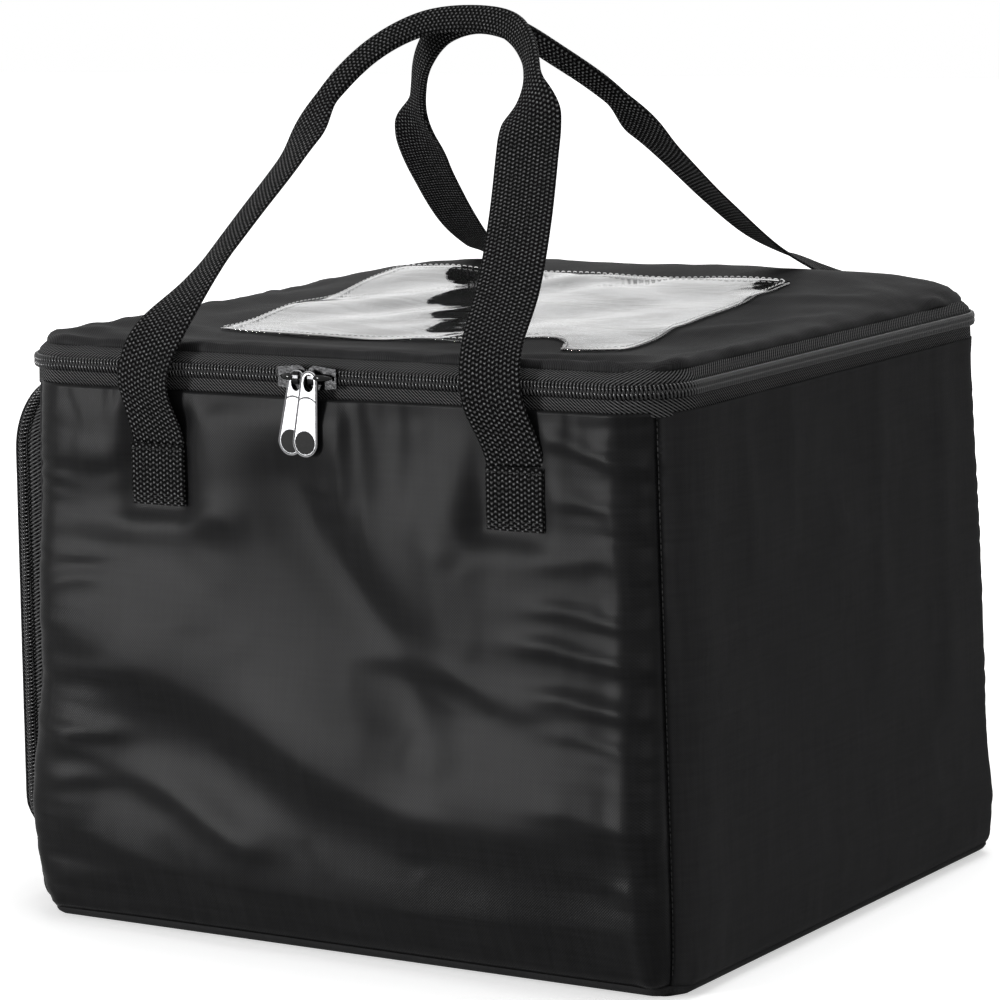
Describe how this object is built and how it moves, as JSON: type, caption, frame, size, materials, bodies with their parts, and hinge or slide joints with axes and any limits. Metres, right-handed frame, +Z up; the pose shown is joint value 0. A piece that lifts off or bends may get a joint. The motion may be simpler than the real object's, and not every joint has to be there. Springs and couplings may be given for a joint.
{
  "type": "insulated bag",
  "caption": "Insulated box bag with padded walls, foil lining, zipped lid with a clear document window, zipped side door and webbing handles.",
  "frame": {"origin": "middle of the bottom face, on the surface that the bag stands on", "axes": "+Z up, +X to the right along the front face, front face towards -Y, door on the -X side"},
  "size_m": [0.3701, 0.3354, 0.427],
  "materials": {
    "nylon": "satin black coated nylon oxford cloth with a fine plain weave",
    "foam": "white closed-cell foam sheet",
    "foil": "silver foil laminate on thin film",
    "board": "plain stiffener board",
    "zip_tape": "black herringbone zip tape",
    "zip_coil": "black nylon coil",
    "clear_film": "clear glossy film",
    "webbing": "black woven webbing with a ribbed face",
    "slider_metal": "black painted die-cast metal",
    "pull_metal": "bright nickel-plated steel"
  },
  "bodies": {
    "bag": {"bottom_panel": "nylon", "bottom_board": "board", "front_panel": "nylon", "front_foam": "foam", "back_panel": "nylon", "back_foam": "foam", "right_panel": "nylon", "right_foam": "foam", "left_frame": "nylon", "left_foam": "foam", "inner_lining": "foil", "body_zip_tape": "zip_tape", "body_zip_coil": "zip_coil", "body_hinge_band": "nylon", "door_frame_tape": "zip_tape", "door_frame_coil": "zip_coil", "door_hinge_band": "nylon", "strap_patch_front_left": "webbing", "strap_patch_front_right": "webbing", "strap_patch_back_left": "webbing", "strap_patch_back_right": "webbing"},
    "lid": {"lid_panel": "nylon", "lid_foam": "foam", "lid_lining": "foil", "lid_zip_tape": "zip_tape", "lid_zip_coil": "zip_coil", "lid_hinge_band": "nylon", "window_film": "clear_film"},
    "door": {"door_panel": "nylon", "door_foam": "foam", "door_lining": "foil", "door_zip_tape": "zip_tape", "door_zip_coil": "zip_coil"},
    "front_handle": {"front_handle_strap": "webbing"},
    "back_handle": {"back_handle_strap": "webbing"},
    "slider_left": {"lid_slider_left": "slider_metal"},
    "slider_right": {"lid_slider_right": "slider_metal"},
    "pull_left": {"lid_pull_left": "pull_metal"},
    "pull_right": {"lid_pull_right": "pull_metal"},
    "slider_door": {"door_slider": "slider_metal"},
    "pull_door": {"door_pull": "pull_metal"}
  },
  "joints": [
    {"name": "lid_open", "type": "hinge", "parent": "bag", "child": "lid", "pos_m": [0, 0.159, 0.267], "axis": [-1, 0, 0], "range_deg": [0, 100], "deforming": ["front_handle_strap", "back_handle_strap"]},
    {"name": "door_open", "type": "hinge", "parent": "bag", "child": "door", "pos_m": [-0.19096, 0, 0.0161], "axis": [0, -1, 0], "range_deg": [0, 90]},
    {"name": "front_handle_swing", "type": "hinge", "parent": "bag", "child": "front_handle", "pos_m": [0, -0.1603, 0.23215], "axis": [1, 0, 0], "range_deg": [0, 150]},
    {"name": "back_handle_swing", "type": "hinge", "parent": "bag", "child": "back_handle", "pos_m": [0, 0.1603, 0.23215], "axis": [-1, 0, 0], "range_deg": [0, 150]},
    {"name": "slider_left_slide", "type": "slide", "parent": "bag", "child": "slider_left", "axis": [-1, 0, 0], "range_m": [0, 0.126]},
    {"name": "slider_right_slide", "type": "slide", "parent": "bag", "child": "slider_right", "axis": [1, 0, 0], "range_m": [0, 0.137]},
    {"name": "pull_left_swing", "type": "hinge", "parent": "slider_left", "child": "pull_left", "pos_m": [-0.0098, -0.164, 0.267], "axis": [-1, 0, 0], "range_deg": [0, 150]},
    {"name": "pull_right_swing", "type": "hinge", "parent": "slider_right", "child": "pull_right", "pos_m": [-0.0015, -0.164, 0.267], "axis": [-1, 0, 0], "range_deg": [0, 150]},
    {"name": "door_slider_slide", "type": "slide", "parent": "bag", "child": "slider_door", "axis": [0, 0, 1], "range_m": [0, 0.145]},
    {"name": "door_pull_swing", "type": "hinge", "parent": "slider_door", "child": "pull_door", "pos_m": [-0.18493, 0.1425, 0.0618], "axis": [1, 0, 0], "range_deg": [0, 150]}
  ]
}
